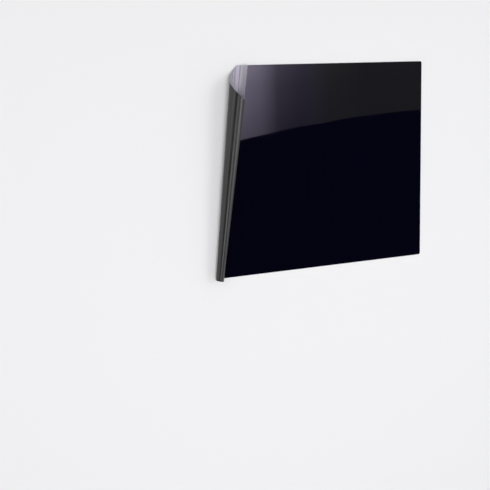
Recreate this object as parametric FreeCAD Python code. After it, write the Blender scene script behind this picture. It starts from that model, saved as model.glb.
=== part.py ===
import FreeCAD, Part
import math
import os

# Privacy filter: one sheet of dark film that lies on its back, with its left side curled up and over.
# Millimetres. The front face looks up (+Z) and the film's top edge is at +Y.

# Film as it measures flat
FILM_WIDTH = 376.0
FILM_HEIGHT = 301.0
FILM_THICKNESS = 0.5
CORNER_RADIUS = 3.0

# Curl: a cone that touches the flat film along the peel line, measured to the film's back face
CURL_RADIUS_TOP = 12.5
CURL_RADIUS_BOTTOM = 5.85
CURL_WRAP = 332.0

# Mouth at the curl's upper end: its edge winds round the curl, from the film's top edge at the peel line
# down to its drop, and is bowed to lie that much lower halfway than a straight one
MOUTH_WRAP = 275.0
MOUTH_DROP = 50.0
MOUTH_BOW = 8.5

# Steps that each edge round the curl is drawn in
EDGE_STEPS = 36

UP = FreeCAD.Vector(0, 0, 1)


def plate_of(points, path):
    return Part.Face(Part.makePolygon(points + points[:1])).extrude(path)


# The width that the curl takes up is missing from the flat part, which is why the peel line leans
wrap = math.radians(CURL_WRAP)
flat_top = FILM_WIDTH - wrap * CURL_RADIUS_TOP
flat_bottom = FILM_WIDTH - wrap * CURL_RADIUS_BOTTOM
peel_top = FreeCAD.Vector(-flat_top, FILM_HEIGHT, 0)
peel_bottom = FreeCAD.Vector(-flat_bottom, 0, 0)
lean = math.atan2(flat_bottom - flat_top, FILM_HEIGHT)

# Flat part, with its right edge on X = 0
right_top = FreeCAD.Vector(0, FILM_HEIGHT, 0)
right_bottom = FreeCAD.Vector(0, 0, 0)
flat = plate_of([peel_bottom, right_bottom, right_top, peel_top], UP * FILM_THICKNESS)
corners = [edge for edge in flat.Edges if edge.BoundBox.XMin > -1e-6 and edge.BoundBox.YLength < 1e-6]
flat = flat.makeFillet(CORNER_RADIUS, corners)

# Curl: the film's own thickness along the peel line, turned about the axis of the cone
axis_top = peel_top + UP * CURL_RADIUS_TOP
axis_bottom = peel_bottom + UP * CURL_RADIUS_BOTTOM
axis = (axis_top - axis_bottom).normalize()
peel_line = (peel_top - peel_bottom).normalize()
spare = peel_line * CURL_RADIUS_TOP
foot = peel_bottom - spare
head = peel_top + spare
thick = UP * FILM_THICKNESS
section = Part.Face(Part.makePolygon([foot, head, head + thick, foot + thick, foot]))
curl = section.revolve(axis_bottom, axis, CURL_WRAP)

# Tip of the cone, and how far it lies below the film's bottom edge
tip_depth = FILM_HEIGHT * CURL_RADIUS_BOTTOM / (CURL_RADIUS_TOP - CURL_RADIUS_BOTTOM)
tip = peel_bottom - peel_line * (tip_depth / math.cos(lean))


def bottom_edge(turn):
    """Distance from the tip, by turn in radians, of the film's bottom edge, straight before it is curled."""
    return tip_depth / math.cos(lean - turn * math.sin(lean) / wrap)


def mouth_edge(turn):
    """Distance from the tip, by turn in radians, of the mouth's edge."""
    share = turn / math.radians(MOUTH_WRAP)
    start = tip.distanceToPoint(peel_top)
    return start - MOUTH_DROP * share - 4 * MOUTH_BOW * share * (1 - share)


def cutter_of(edge, last, path):
    """All beyond an edge round the curl, square to the film, from before the peel line to a last turn."""
    turns = [last * i / EDGE_STEPS for i in range(-1, EDGE_STEPS + 1)]
    curves = []
    for depth in (-CURL_RADIUS_TOP, CURL_RADIUS_BOTTOM / 2):
        points = []
        for turn in turns:
            spin = FreeCAD.Rotation(axis, turn)
            points.append(tip + spin.multVec(peel_line * edge(math.radians(turn)) + UP * depth))
        curve = Part.BSplineCurve()
        curve.interpolate(Points=points, Parameters=turns)
        curves.append(curve)
    return curves[0].makeRuledSurface(curves[1]).toShape().extrude(path)


# The curl's lower end follows the film's bottom edge, and the mouth is cut out of its upper end
beyond_wrap = (CURL_WRAP + 360) / 2
sweep = axis * (MOUTH_DROP + 2 * CURL_RADIUS_TOP)
curl = curl.cut(cutter_of(bottom_edge, beyond_wrap, -sweep))
curl = curl.cut(cutter_of(mouth_edge, MOUTH_WRAP, sweep))

# What stands behind the mouth is flush with the film's top edge
above = 4 * CURL_RADIUS_TOP
above_corner = FreeCAD.Vector(-flat_bottom, FILM_HEIGHT, -above / 4)
curl = curl.cut(Part.makeBox(flat_bottom, above, above, above_corner))

# One sheet, with its origin at the middle of the surface it lies on
film = flat.fuse(curl).removeSplitter()
bounds = film.optimalBoundingBox(False, False)
film.translate(FreeCAD.Vector(-bounds.Center.x, -bounds.Center.y, -bounds.ZMin))

os.makedirs("parts", exist_ok=True)
film.exportStep("parts/privacy_film.step")
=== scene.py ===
import math

import bmesh
import bpy
from mathutils import Matrix, Vector


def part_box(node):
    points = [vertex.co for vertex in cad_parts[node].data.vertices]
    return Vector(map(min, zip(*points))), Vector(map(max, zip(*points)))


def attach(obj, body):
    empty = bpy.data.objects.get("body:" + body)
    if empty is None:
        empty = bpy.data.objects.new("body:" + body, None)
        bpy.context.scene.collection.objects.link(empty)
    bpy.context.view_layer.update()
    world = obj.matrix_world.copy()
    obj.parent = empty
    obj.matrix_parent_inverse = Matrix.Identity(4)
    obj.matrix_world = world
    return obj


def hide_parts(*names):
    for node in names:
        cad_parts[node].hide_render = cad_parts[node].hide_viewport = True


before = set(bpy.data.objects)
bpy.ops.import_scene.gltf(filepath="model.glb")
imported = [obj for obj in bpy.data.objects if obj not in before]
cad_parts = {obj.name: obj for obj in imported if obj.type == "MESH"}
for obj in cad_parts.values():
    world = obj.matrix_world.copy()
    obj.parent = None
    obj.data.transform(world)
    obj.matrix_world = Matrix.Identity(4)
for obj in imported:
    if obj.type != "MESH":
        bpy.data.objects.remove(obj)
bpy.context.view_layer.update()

# Film sizes in metres, as the CAD model has them
FILM_WIDTH = 0.376
FILM_HEIGHT = 0.301
FILM_THICKNESS = 0.0005
CORNER_RADIUS = 0.003
CURL_RADIUS_TOP = 0.0125
CURL_RADIUS_BOTTOM = 0.00585
CURL_WRAP = math.radians(332)
MOUTH_WRAP = math.radians(275)
MOUTH_DROP = 0.050
MOUTH_BOW = 0.0085

# How finely the film is meshed
LOWER_ROWS = 50
UPPER_ROWS = 16
FLAT_COLUMNS = 60
COVERED_COLUMNS = 4
MOUTH_COLUMNS = 138
BEHIND_COLUMNS = 28
CORNER_SEGMENTS = 8
EDGE_ROUNDING = 0.0001
EDGE_SEGMENTS = 2
SHARP_ANGLE = math.radians(60)
SAME_POINT = 1e-6

# Share of the flat part's width over which the painted light inside the curl ends
PAINTED_LIGHT_FADE = 0.0014

# The film's own wave where it lies flat
WAVE_HEIGHT = 0.000025
WAVE_LENGTHS = (0.19, 0.13)

# What the mesh says of each point: its place on the film before it is curled, and whether it is in the curl
# or under it, where the front gets its painted light
UNROLLED = "unrolled"
INSIDE = "inside"

UP = Vector((0, 0, 1))


# Peel line, and the curl's axis and tip

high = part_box("privacy_film")[1]
flat_top = FILM_WIDTH - CURL_WRAP * CURL_RADIUS_TOP
flat_bottom = FILM_WIDTH - CURL_WRAP * CURL_RADIUS_BOTTOM
peel_top = Vector((high.x - flat_top, high.y, 0))
peel_bottom = Vector((high.x - flat_bottom, high.y - FILM_HEIGHT, 0))
peel_line = (peel_top - peel_bottom).normalized()
lean = math.atan2(flat_bottom - flat_top, FILM_HEIGHT)
axis = (peel_top + UP * CURL_RADIUS_TOP - peel_bottom - UP * CURL_RADIUS_BOTTOM).normalized()
tip_depth = FILM_HEIGHT * CURL_RADIUS_BOTTOM / (CURL_RADIUS_TOP - CURL_RADIUS_BOTTOM)
tip = peel_bottom - peel_line * (tip_depth / math.cos(lean))


def lean_at(angle):
    """How far the line to the curl's tip leans from upright at that angle, before the film is curled."""
    return lean - angle * math.sin(lean) / CURL_WRAP


def on_flat(share, height):
    """A point of the flat part's back: right edge at 0, under the curl's free edge at 1, peel line at 2."""
    peel = peel_bottom.lerp(peel_top, height / FILM_HEIGHT)
    radius = CURL_RADIUS_BOTTOM + (CURL_RADIUS_TOP - CURL_RADIUS_BOTTOM) * height / FILM_HEIGHT
    covered = peel.x - radius * math.sin(CURL_WRAP)
    if share > 1:
        return Vector((covered + (peel.x - covered) * (share - 1), peel.y, 0))
    x = high.x + (covered - high.x) * share
    along, up = (math.tau * d / length for d, length in zip((x - covered, height), WAVE_LENGTHS))
    wave = WAVE_HEIGHT * (math.sin(along) * math.cos(up)) ** 2
    return Vector((x, peel.y, wave * math.sin(math.pi * share)))


def ruling_at(angle):
    """The direction of the straight line from the curl's tip at that angle round it."""
    return Matrix.Rotation(angle, 3, axis) @ peel_line


def on_curl(angle, height):
    """A point of the curl's back, at that height of the film before it is curled."""
    return tip + ruling_at(angle) * (tip_depth + height) / math.cos(lean_at(angle))


def top_of(angle, mouth=True):
    """How high the film reaches at that angle: to the mouth's edge, or behind it to the top edge."""
    if mouth:
        share = angle / MOUTH_WRAP
        reach = (peel_top - tip).length - MOUTH_DROP * share - 4 * MOUTH_BOW * share * (1 - share)
    else:
        reach = (peel_top.y - tip.y) / ruling_at(angle).y
    return reach * math.cos(lean_at(angle)) - tip_depth


def unrolled(height, x, angle):
    """Where a point lies on the film before it is curled, in metres from its lower right corner."""
    if angle:
        x = tip.x + (tip_depth + height) * math.tan(lean_at(angle))
    return high.x - x, height


def add_patch(bm, stations, bottoms, tops, rows):
    """A grid of faces over part of the film, with each point's unrolled place as its UV."""
    uv = bm.loops.layers.uv[UNROLLED]
    inside = bm.verts.layers.float[INSIDE]
    places = {}
    grid = []
    for r in range(rows + 1):
        line = []
        for (share, angle), bottom, top in zip(stations, bottoms, tops):
            height = bottom + (top - bottom) * r / rows
            vert = bm.verts.new(on_curl(angle, height) if angle else on_flat(share, height))
            # Points in the curl and in the strip under it are marked for the front's painted light
            vert[inside] = 1.0 if share >= 1 else 0.0
            places[vert] = unrolled(height, vert.co.x, angle)
            line.append(vert)
        grid.append(line)
    for below, above in zip(grid, grid[1:]):
        for i in range(1, len(stations)):
            face = bm.faces.new((below[i - 1], below[i], above[i], above[i - 1]))
            face.smooth = True
            for loop in face.loops:
                loop[uv].uv = places[loop.vert]


def film_back():
    """The film's back face: below the mouth, beside it up to its edge, and behind it."""
    bm = bmesh.new()
    bm.loops.layers.uv.new(UNROLLED)
    inside = bm.verts.layers.float.new(INSIDE)
    stations = [(i / FLAT_COLUMNS, 0.0) for i in range(FLAT_COLUMNS)] + [(1 - PAINTED_LIGHT_FADE, 0.0)]
    stations += [(1 + i / COVERED_COLUMNS, 0.0) for i in range(COVERED_COLUMNS)]
    stations += [(2.0, MOUTH_WRAP * i / MOUTH_COLUMNS) for i in range(MOUTH_COLUMNS + 1)]
    step = (CURL_WRAP - MOUTH_WRAP) / BEHIND_COLUMNS
    behind = [(2.0, MOUTH_WRAP + step * i) for i in range(BEHIND_COLUMNS + 1)]
    tops = [top_of(angle) for share, angle in stations]
    behind_tops = [top_of(angle, mouth=False) for share, angle in behind]
    middle = tops[-1]
    everywhere = stations + behind[1:]
    add_patch(bm, everywhere, [0.0] * len(everywhere), [middle] * len(everywhere), LOWER_ROWS)
    add_patch(bm, stations, [middle] * len(stations), tops, UPPER_ROWS)
    add_patch(bm, behind, [middle] * len(behind), behind_tops, UPPER_ROWS)
    bmesh.ops.remove_doubles(bm, verts=bm.verts, dist=SAME_POINT)
    right = [v for v in bm.verts if v.co.x > high.x - SAME_POINT]
    corners = [min(right, key=lambda v: v.co.y), max(right, key=lambda v: v.co.y)]
    bmesh.ops.bevel(
        bm, geom=corners, affect="VERTICES", offset=CORNER_RADIUS, segments=CORNER_SEGMENTS, profile=0.5
    )
    # Seams round the curl's border part its outside from its inside when the film is unwrapped
    for edge in bm.edges:
        edge.seam = edge.is_boundary and all(vert[inside] for vert in edge.verts)
    bm.normal_update()
    mesh = bpy.data.meshes.new("film")
    bm.to_mesh(mesh)
    bm.free()
    return mesh


def make_film(back, front, edge):
    """The film's back face given its thickness, with a material for each face and for the cut edge."""
    mesh = film_back()
    for material in (back, front, edge):
        mesh.materials.append(material)
    film = bpy.data.objects.new("film", mesh)
    bpy.context.collection.objects.link(film)
    thick = film.modifiers.new("thickness", "SOLIDIFY")
    thick.thickness = FILM_THICKNESS
    thick.offset = -1
    thick.use_even_offset = True
    thick.material_offset = 1
    thick.material_offset_rim = 2
    rounding = film.modifiers.new("edge rounding", "BEVEL")
    rounding.width = EDGE_ROUNDING
    rounding.segments = EDGE_SEGMENTS
    rounding.limit_method = "ANGLE"
    rounding.angle_limit = SHARP_ANGLE
    rounding.harden_normals = True
    return film


# Materials: each pair is a colour, or a roughness, at its least and at its most

FRONT_DARK = ((0.0004, 0.0002, 0.0036), (0.0008, 0.0005, 0.0052))
# Painted light: the pale colour that the front gets inside the curl and under it, standing in for the light
# seen there
FRONT_PAINTED_LIGHT = ((0.335, 0.32, 0.37), (0.385, 0.37, 0.425))
FRONT_ROUGHNESS = (0.012, 0.035)
FRONT_RIPPLE = 0.000001
BACK_COLOUR = ((0.007, 0.007, 0.0068), (0.012, 0.0117, 0.0115))
BACK_ROUGHNESS = (0.27, 0.36)
BACK_SPECULAR = 0.66
BACK_RIPPLE = 0.000006
EDGE_COLOUR = ((0.24, 0.23, 0.265), (0.36, 0.35, 0.39))
EDGE_ROUGHNESS = (0.3, 0.45)


def new_material(name, colour, roughness):
    """A material with its node tree and its shader."""
    material = bpy.data.materials.new(name)
    material.use_nodes = True
    shader = material.node_tree.nodes["Principled BSDF"]
    shader.inputs["Base Color"].default_value = (*colour, 1)
    shader.inputs["Roughness"].default_value = roughness
    return material, material.node_tree, shader


def ramp_node(tree, source, *stops):
    """A colour ramp on a value, from pairs of position and colour or grey."""
    ramp = tree.nodes.new("ShaderNodeValToRGB")
    elements = ramp.color_ramp.elements
    while len(elements) < len(stops):
        elements.new(1)
    for element, (position, colour) in zip(elements, stops):
        element.position = position
        element.color = (*colour, 1) if isinstance(colour, tuple) else (colour, colour, colour, 1)
    tree.links.new(source, ramp.inputs[0])
    return ramp.outputs["Color"]


def between(tree, noise, pair, margin=0.2):
    """A colour or value that goes from one to the other of a pair over the middle of the noise's range."""
    return ramp_node(tree, noise, (0.5 - margin, pair[0]), (0.5 + margin, pair[1]))


def film_noise(tree, across, up, detail):
    """Noise over the unrolled film, in waves per metre across and up it."""
    place = tree.nodes.new("ShaderNodeUVMap")
    place.uv_map = UNROLLED
    stretch = tree.nodes.new("ShaderNodeMapping")
    stretch.inputs["Scale"].default_value = (across, up, 1)
    noise = tree.nodes.new("ShaderNodeTexNoise")
    noise.inputs["Scale"].default_value = 1
    noise.inputs["Detail"].default_value = detail
    tree.links.new(place.outputs["UV"], stretch.inputs["Vector"])
    tree.links.new(stretch.outputs["Vector"], noise.inputs["Vector"])
    return noise.outputs["Fac"]


def mixed(tree, kind, share, first, second):
    """Two colours mixed; a Mix node's colour sockets are its inputs 6 and 7 and its output 2."""
    mix = tree.nodes.new("ShaderNodeMix")
    mix.data_type = "RGBA"
    mix.blend_type = kind
    tree.links.new(share, mix.inputs[0])
    tree.links.new(first, mix.inputs[6])
    tree.links.new(second, mix.inputs[7])
    return mix.outputs[2]


def bump_node(tree, height, distance):
    """Normals for a surface as uneven as the height says, by that distance at most."""
    bump = tree.nodes.new("ShaderNodeBump")
    bump.inputs["Strength"].default_value = 1
    bump.inputs["Distance"].default_value = distance
    tree.links.new(height, bump.inputs["Height"])
    return bump.outputs["Normal"]


def front_material():
    """Dark gloss with faint upright streaks, and painted light round the inside of the curl: a pale colour
    in place of the light seen there.
    """
    material, tree, shader = new_material("film_front", colour=(0.0006, 0.0003, 0.0044), roughness=0.025)
    streaks = film_noise(tree, across=700, up=5, detail=3)
    dark = between(tree, streaks, FRONT_DARK, margin=0.15)
    pale = between(tree, streaks, FRONT_PAINTED_LIGHT, margin=0.15)
    # Painted light: pale inside the curl and in the strip under it, dark gloss elsewhere
    inside = tree.nodes.new("ShaderNodeAttribute")
    inside.attribute_name = INSIDE
    tree.links.new(mixed(tree, "MIX", inside.outputs["Fac"], dark, pale), shader.inputs["Base Color"])
    smudges = film_noise(tree, across=14, up=11, detail=6)
    tree.links.new(between(tree, smudges, FRONT_ROUGHNESS), shader.inputs["Roughness"])
    ripple = film_noise(tree, across=220, up=60, detail=2)
    tree.links.new(bump_node(tree, ripple, FRONT_RIPPLE), shader.inputs["Normal"])
    return material


def back_material():
    """Charcoal satin with streaks along the film's height."""
    material, tree, shader = new_material("film_back", colour=(0.0095, 0.0093, 0.0091), roughness=0.315)
    shader.inputs["Specular IOR Level"].default_value = BACK_SPECULAR
    streaks = film_noise(tree, across=500, up=4, detail=4)
    tree.links.new(between(tree, streaks, BACK_COLOUR), shader.inputs["Base Color"])
    grain = film_noise(tree, across=160, up=40, detail=5)
    tree.links.new(between(tree, grain, BACK_ROUGHNESS), shader.inputs["Roughness"])
    ripple = film_noise(tree, across=900, up=700, detail=2)
    tree.links.new(bump_node(tree, ripple, BACK_RIPPLE), shader.inputs["Normal"])
    return material


def edge_material():
    """Paler cut edge, a little uneven along its length."""
    material, tree, shader = new_material("film_edge", colour=(0.3, 0.29, 0.33), roughness=0.35)
    cut = film_noise(tree, across=300, up=300, detail=3)
    tree.links.new(between(tree, cut, EDGE_COLOUR), shader.inputs["Base Color"])
    tree.links.new(between(tree, cut, EDGE_ROUGHNESS), shader.inputs["Roughness"])
    return material


film = make_film(back_material(), front_material(), edge_material())
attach(film, "root")
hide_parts("privacy_film")


# Floor, which fades into the studio's white between two distances from the film
FLOOR_SIZE = 12.0
FLOOR_GAP = 0.0001
FLOOR_GREY = (0.86, 0.86, 0.86)
FADE_START = 0.6
FADE_END = 1.6

# The sky is white up to one height and dark from another, each the sine of its angle above the floor
STUDIO_WHITE = (0.96, 0.96, 0.97)
OVERHEAD = (0.02, 0.02, 0.03)
WHITE_TO = 0.5
DARK_FROM = 0.76

# Camera, placed as the photograph's is to the film
EYE = Vector((-0.5492, 0.1218, 1.0738))
AIM = Vector((-0.1255, -0.1035, 0))
CAMERA_UP = Vector((0.035, 1, 0))
LENS = 59.4

# Glare on the film's upper part: where it starts, how low its lower edge is at the left and at the right,
# and how far that edge bows up
GLARE_LEFT = -0.163
GLARE_LOW_LEFT = 0.0415
GLARE_LOW_RIGHT = 0.079
GLARE_BOW = 0.0105
GLARE_OVERRUN = 0.06
GLARE_STEPS = 24
GLARE_VIOLET = (0.92, 0.82, 1.12)
GLARE_GREY = (1.0, 0.99, 0.88)
GLARE_STRENGTH = 4.7
CARD_HEIGHT = 1.5

# A lamp's level by share of its width, and of its height
LAMP_EDGES = ((0, 0.0), (0.4, 1.0), (0.6, 1.0), (1, 0.0))

# Glare's level by share of the card's width, violet beside the curl and grey away from it
GLARE_BESIDE = ((0.1, 1.0), (0.17, 0.74), (0.24, 0.26), (0.33, 0.15))
GLARE_AWAY = ((0.45, 0.078), (0.6, 0.052), (1.0, 0.05))

# How it rises with the card's height, and how that rise fades with the card's width
GLARE_RISE = ((0.05, 0.33), (0.21, 0.46), (0.49, 0.72), (0.62, 1.0))
GLARE_RISE_FADE = ((0.3, 1.0), (0.6, 0.2))


def link(thing):
    bpy.context.collection.objects.link(thing)
    return thing


def make_floor():
    """A pale floor that fades into the white of the studio far from the film."""
    mesh = bpy.data.meshes.new("floor")
    half = FLOOR_SIZE / 2
    corners = [(-half, -half, 0), (half, -half, 0), (half, half, 0), (-half, half, 0)]
    mesh.from_pydata(corners, [], [(0, 1, 2, 3)])
    material, tree, shader = new_material("floor", colour=FLOOR_GREY, roughness=0.8)
    shader.inputs["Specular IOR Level"].default_value = 0
    place = tree.nodes.new("ShaderNodeTexCoord")
    distance = tree.nodes.new("ShaderNodeVectorMath")
    distance.operation = "LENGTH"
    fade = tree.nodes.new("ShaderNodeMapRange")
    fade.interpolation_type = "SMOOTHSTEP"
    fade.inputs["From Min"].default_value = FADE_START
    fade.inputs["From Max"].default_value = FADE_END
    far = tree.nodes.new("ShaderNodeEmission")
    far.inputs["Color"].default_value = (*STUDIO_WHITE, 1)
    blend = tree.nodes.new("ShaderNodeMixShader")
    tree.links.new(place.outputs["Object"], distance.inputs[0])
    tree.links.new(distance.outputs["Value"], fade.inputs["Value"])
    tree.links.new(fade.outputs["Result"], blend.inputs[0])
    tree.links.new(shader.outputs[0], blend.inputs[1])
    tree.links.new(far.outputs[0], blend.inputs[2])
    tree.links.new(blend.outputs[0], tree.nodes["Material Output"].inputs["Surface"])
    mesh.materials.append(material)
    floor = link(bpy.data.objects.new("floor", mesh))
    floor.location.z = -FLOOR_GAP


def mirrored(x, y):
    """Where the camera, by way of the film at that point, sees a card that hangs over it."""
    image = Vector((EYE.x, EYE.y, -EYE.z))
    ray = Vector((x, y, 0)) - image
    return image + ray * (EYE.z + CARD_HEIGHT) / EYE.z


def make_glare_card():
    """A glowing card over the film, bright at its left end, that shows only as a reflection."""
    right = high.x + GLARE_OVERRUN
    verts = []
    for i in range(GLARE_STEPS + 1):
        share = i / GLARE_STEPS
        x = GLARE_LEFT + (right - GLARE_LEFT) * share
        straight = GLARE_LOW_LEFT + (GLARE_LOW_RIGHT - GLARE_LOW_LEFT) * share
        y = straight + GLARE_BOW * 4 * share * (1 - share)
        verts += [mirrored(x, y), mirrored(x, high.y + GLARE_OVERRUN)]
    mesh = bpy.data.meshes.new("glare_card")
    mesh.from_pydata(verts, [], [(2 * i, 2 * i + 1, 2 * i + 3, 2 * i + 2) for i in range(GLARE_STEPS)])
    material = bpy.data.materials.new("glare_card")
    material.use_nodes = True
    tree = material.node_tree
    tree.nodes.remove(tree.nodes["Principled BSDF"])
    place = tree.nodes.new("ShaderNodeTexCoord")
    split = tree.nodes.new("ShaderNodeSeparateXYZ")
    glow = tree.nodes.new("ShaderNodeEmission")
    glow.inputs["Strength"].default_value = GLARE_STRENGTH
    tree.links.new(place.outputs["Generated"], split.inputs[0])
    stops = [(at, tuple(tint * level for tint in GLARE_VIOLET)) for at, level in GLARE_BESIDE]
    stops += [(at, tuple(tint * level for tint in GLARE_GREY)) for at, level in GLARE_AWAY]
    sideways = ramp_node(tree, split.outputs["X"], *stops)
    rise = ramp_node(tree, split.outputs["Y"], *GLARE_RISE)
    fade = ramp_node(tree, split.outputs["X"], *GLARE_RISE_FADE)
    tree.links.new(mixed(tree, "MULTIPLY", fade, sideways, rise), glow.inputs["Color"])
    tree.links.new(glow.outputs[0], tree.nodes["Material Output"].inputs["Surface"])
    mesh.materials.append(material)
    card = link(bpy.data.objects.new("glare_card", mesh))
    card.visible_camera = False
    card.visible_shadow = False


def soften(data):
    """Makes a lamp's light fade towards its edges, so that its reflection has soft edges too."""
    data.use_nodes = True
    tree = data.node_tree
    place = tree.nodes.new("ShaderNodeNewGeometry")
    split = tree.nodes.new("ShaderNodeSeparateXYZ")
    level = tree.nodes.new("ShaderNodeMath")
    level.operation = "MULTIPLY"
    tree.links.new(place.outputs["Parametric"], split.inputs[0])
    for side, factor in zip("XY", level.inputs):
        tree.links.new(ramp_node(tree, split.outputs[side], *LAMP_EDGES), factor)
    tree.links.new(level.outputs[0], tree.nodes["Emission"].inputs["Strength"])


def area_lamp(name, place, aim, size, radiance, in_gloss=True):
    """A rectangular lamp, as bright as its radiance in its middle, which gloss may mirror or not."""
    data = bpy.data.lights.new(name, "AREA")
    data.shape = "RECTANGLE"
    data.size, data.size_y = size
    data.energy = radiance * math.pi * size[0] * size[1]
    soften(data)
    lamp = link(bpy.data.objects.new(name, data))
    lamp.visible_glossy = in_gloss
    lamp.location = place
    lamp.rotation_euler = (Vector(aim) - Vector(place)).to_track_quat("-Z", "Y").to_euler()


def make_world():
    """A studio that is white all round and dark overhead."""
    world = bpy.data.worlds.new("studio")
    bpy.context.scene.world = world
    world.use_nodes = True
    tree = world.node_tree
    place = tree.nodes.new("ShaderNodeTexCoord")
    split = tree.nodes.new("ShaderNodeSeparateXYZ")
    tree.links.new(place.outputs["Generated"], split.inputs[0])
    sky = ramp_node(tree, split.outputs["Z"], (WHITE_TO, STUDIO_WHITE), (DARK_FROM, OVERHEAD))
    tree.links.new(sky, tree.nodes["Background"].inputs["Color"])


def make_camera():
    """A camera that looks down on the film from its left side."""
    data = bpy.data.cameras.new("camera")
    data.lens = LENS
    camera = link(bpy.data.objects.new("camera", data))
    forward = (AIM - EYE).normalized()
    right = forward.cross(CAMERA_UP).normalized()
    basis = Matrix((right, right.cross(forward), -forward)).transposed()
    camera.matrix_world = Matrix.Translation(EYE) @ basis.to_4x4()
    bpy.context.scene.camera = camera


make_floor()
make_world()
make_glare_card()
area_lamp("key", place=(-0.04, -0.6, 2.1), aim=(0.2, -0.1, 0), size=(1.0, 2.0), radiance=4.5)
area_lamp("left", place=(-1.7, 0.75, 1.4), aim=(-0.1, 0.1, 0), size=(1.7, 1.7), radiance=2.0)
area_lamp("right", place=(2.1, 0.1, 1.6), aim=(0, 0, 0), size=(2.4, 1.5), radiance=3.8)
area_lamp("fill", place=(-0.5, -0.3, 2.0), aim=(-0.1, 0, 0), size=(1.7, 1.7), radiance=3.4, in_gloss=False)
make_camera()
bpy.context.scene.view_settings.view_transform = "Standard"
